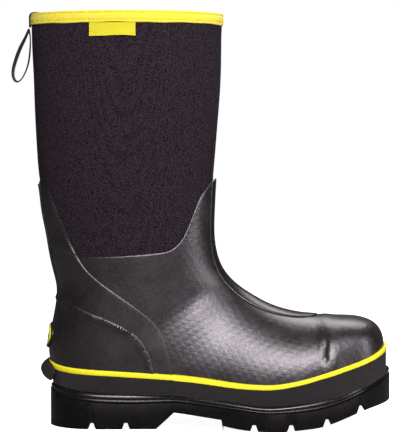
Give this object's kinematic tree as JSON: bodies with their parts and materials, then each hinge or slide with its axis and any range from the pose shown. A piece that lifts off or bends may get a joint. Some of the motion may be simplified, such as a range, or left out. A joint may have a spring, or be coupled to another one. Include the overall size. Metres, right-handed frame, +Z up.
{
  "type": "safety boot",
  "caption": "Pull-on right safety boot: neoprene leg, moulded rubber foot shell with steel toe cap, yellow trim, lugged outsole, pull loop and lift-out footbed.",
  "frame": {"origin": "on the ground, under the middle of the boot's box", "axes": "+X towards the toe, +Y to the inner side of the foot (it is a right boot), +Z up the leg"},
  "size_m": [0.3701, 0.1244, 0.4003],
  "materials": {
    "neoprene": "nylon-faced neoprene, matte knit",
    "seam_tape": "flat seam tape, matte",
    "lining": "knitted mesh lining",
    "stiffener": "thermoformed counter",
    "binding": "woven elastic binding, matte",
    "thread": "polyester thread",
    "webbing": "woven polyester webbing",
    "tag": "woven label, satin",
    "steel": "pressed sheet",
    "edging": "soft strip",
    "vamp_rubber": "pebble-grained, soft sheen",
    "counter_rubber": "pebble-grained, soft sheen",
    "rib_rubber": "smooth rib, soft sheen",
    "foxing_rubber": "fine diamond texture, matte",
    "yellow_rubber": "smooth, satin",
    "badge_rubber": "smooth, satin",
    "board": "fibreboard",
    "filler_foam": "closed-cell foam",
    "welt_rubber": "glossy moulded bead",
    "outsole_rubber": "dense moulded rubber, dull",
    "footbed_foam": "fabric-topped foam"
  },
  "bodies": {
    "boot": {"neoprene_lateral_panel": "neoprene", "neoprene_medial_panel": "neoprene", "bootie_sole": "neoprene", "front_seam_tape": "seam_tape", "back_seam_tape": "seam_tape", "lining_sock": "lining", "heel_stiffener": "stiffener", "top_binding": "binding", "binding_stitching": "thread", "pull_loop_anchor": "webbing", "toe_cap": "steel", "puncture_plate": "steel", "shank": "steel", "toe_cap_edging": "edging", "vamp_shell": "vamp_rubber", "counter_shell": "counter_rubber", "heel_cup": "counter_rubber", "front_spine": "rib_rubber", "back_spine": "rib_rubber", "foxing_band": "foxing_rubber", "foxing_stripe": "yellow_rubber", "heel_badge_ring": "yellow_rubber", "heel_badge": "badge_rubber", "kick_spur": "badge_rubber", "insole_board": "board", "heel_filler": "filler_foam", "forefoot_filler": "filler_foam", "welt": "welt_rubber", "outsole": "outsole_rubber", "footbed_front": "footbed_foam"},
    "pull_strap": {"pull_loop": "webbing"},
    "tag_flap": {"label_tag": "tag"},
    "footbed_back": {"footbed_heel": "footbed_foam"}
  },
  "joints": [
    {"name": "pull_loop_swing", "type": "hinge", "parent": "boot", "child": "pull_strap", "pos_m": [-0.1682, 0, 0.3844], "axis": [0, 1, 0], "range_deg": [0, 120]},
    {"name": "label_tag_lift", "type": "hinge", "parent": "boot", "child": "tag_flap", "pos_m": [-0.0846, -0.0494, 0.387], "axis": [-1, 0, 0], "range_deg": [0, 75]},
    {"name": "footbed_lift", "type": "hinge", "parent": "boot", "child": "footbed_back", "pos_m": [0.0574, 0, 0.0346], "axis": [0, 1, 0], "range_deg": [0, 9]}
  ]
}
